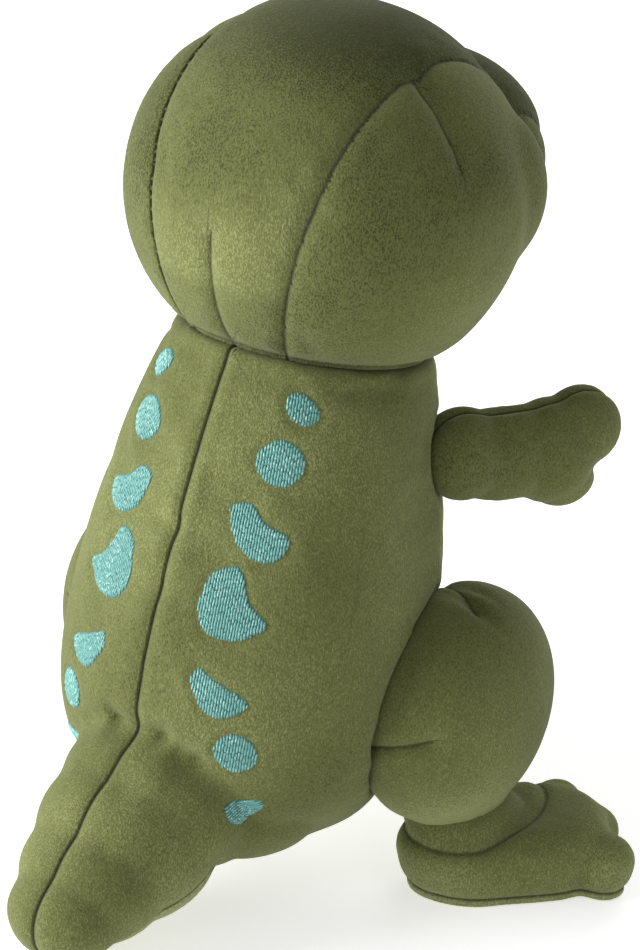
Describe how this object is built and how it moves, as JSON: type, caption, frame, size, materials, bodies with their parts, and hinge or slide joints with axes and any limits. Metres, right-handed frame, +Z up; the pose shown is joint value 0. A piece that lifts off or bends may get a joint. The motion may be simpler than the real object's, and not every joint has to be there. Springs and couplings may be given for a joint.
{
  "type": "stuffed dinosaur",
  "caption": "Plush standing dinosaur with a round head, short arms, thick thighs and tail, and two rows of embroidered spots down its back.",
  "frame": {"origin": "on the ground, at the middle of the toy's length and width", "axes": "+Z up, the face looks along -Y, the toy's left side is +X"},
  "size_m": [0.2114, 0.2009, 0.2575],
  "materials": {
    "olive_pile": "short pile, brushed down",
    "belly_pile": "short pile, a lighter tone",
    "teal_stitching": "satin embroidery thread",
    "dark_stitching": "satin embroidery thread",
    "filling": "loose white fibre",
    "black_button": "polished",
    "white_washer": "as moulded"
  },
  "bodies": {
    "torso": {"back_panel_right": "olive_pile", "back_panel_left": "olive_pile", "belly_panel": "belly_pile", "torso_stuffing": "filling", "spot_right_1": "teal_stitching", "spot_right_2": "teal_stitching", "spot_right_3": "teal_stitching", "spot_right_4": "teal_stitching", "spot_right_5": "teal_stitching", "spot_right_6": "teal_stitching", "spot_left_1": "teal_stitching", "spot_left_2": "teal_stitching", "spot_left_3": "teal_stitching", "spot_left_4": "teal_stitching", "spot_left_5": "teal_stitching", "spot_left_6": "teal_stitching"},
    "neck": {"neck_stuffing": "filling"},
    "head": {"head_crown_panel": "olive_pile", "head_side_panel_right": "olive_pile", "head_side_panel_left": "olive_pile", "head_chin_panel": "belly_pile", "head_stuffing": "filling", "eye_right": "black_button", "eye_left": "black_button", "eye_washer_right": "white_washer", "eye_washer_left": "white_washer", "nostril_right": "dark_stitching", "nostril_left": "dark_stitching", "mouth": "dark_stitching"},
    "tail": {"tail_panel_right": "olive_pile", "tail_panel_left": "olive_pile", "tail_underside_panel": "olive_pile", "tail_stuffing": "filling", "spot_right_7": "teal_stitching", "spot_left_7": "teal_stitching"},
    "arm_right": {"arm_outer_panel_right": "olive_pile", "arm_inner_panel_right": "olive_pile", "arm_stuffing_right": "filling"},
    "leg_right": {"thigh_outer_panel_right": "olive_pile", "thigh_inner_panel_right": "olive_pile", "thigh_stuffing_right": "filling"},
    "foot_right": {"foot_upper_panel_right": "olive_pile", "foot_sole_panel_right": "olive_pile", "foot_stuffing_right": "filling"},
    "arm_left": {"arm_outer_panel_left": "olive_pile", "arm_inner_panel_left": "olive_pile", "arm_stuffing_left": "filling"},
    "leg_left": {"thigh_outer_panel_left": "olive_pile", "thigh_inner_panel_left": "olive_pile", "thigh_stuffing_left": "filling"},
    "foot_left": {"foot_upper_panel_left": "olive_pile", "foot_sole_panel_left": "olive_pile", "foot_stuffing_left": "filling"}
  },
  "joints": [
    {"name": "neck_turn", "type": "hinge", "parent": "torso", "child": "neck", "pos_m": [0, -0.01297, 0.15315], "axis": [0, -0.1908, 0.9816], "range_deg": [-20, 20], "stiffness_Nm_per_rad": 1.2},
    {"name": "head_nod", "type": "hinge", "parent": "neck", "child": "head", "pos_m": [0, -0.01297, 0.15315], "axis": [1, 0, 0], "range_deg": [-10, 10], "stiffness_Nm_per_rad": 2.5},
    {"name": "tail_wag", "type": "hinge", "parent": "torso", "child": "tail", "pos_m": [0, 0.0195, 0.047], "axis": [0, 0, 1], "range_deg": [-10, 10], "stiffness_Nm_per_rad": 1.5},
    {"name": "arm_lift_right", "type": "hinge", "parent": "torso", "child": "arm_right", "pos_m": [-0.0435, -0.034, 0.13], "axis": [-0.8572, 0.515, 0], "range_deg": [-20, 20], "stiffness_Nm_per_rad": 0.25},
    {"name": "hip_right", "type": "hinge", "parent": "torso", "child": "leg_right", "pos_m": [-0.054, -0.0235, 0.057], "axis": [1, 0, 0], "range_deg": [-12, 12], "stiffness_Nm_per_rad": 3},
    {"name": "ankle_right", "type": "hinge", "parent": "leg_right", "child": "foot_right", "pos_m": [-0.057, -0.0235, 0.023], "axis": [1, 0, 0], "range_deg": [-8, 8], "stiffness_Nm_per_rad": 2},
    {"name": "arm_lift_left", "type": "hinge", "parent": "torso", "child": "arm_left", "pos_m": [0.0435, -0.034, 0.13], "axis": [-0.8572, -0.515, 0], "range_deg": [-20, 20], "stiffness_Nm_per_rad": 0.25},
    {"name": "hip_left", "type": "hinge", "parent": "torso", "child": "leg_left", "pos_m": [0.054, -0.0235, 0.057], "axis": [1, 0, 0], "range_deg": [-12, 12], "stiffness_Nm_per_rad": 3},
    {"name": "ankle_left", "type": "hinge", "parent": "leg_left", "child": "foot_left", "pos_m": [0.057, -0.0235, 0.023], "axis": [1, 0, 0], "range_deg": [-8, 8], "stiffness_Nm_per_rad": 2}
  ]
}
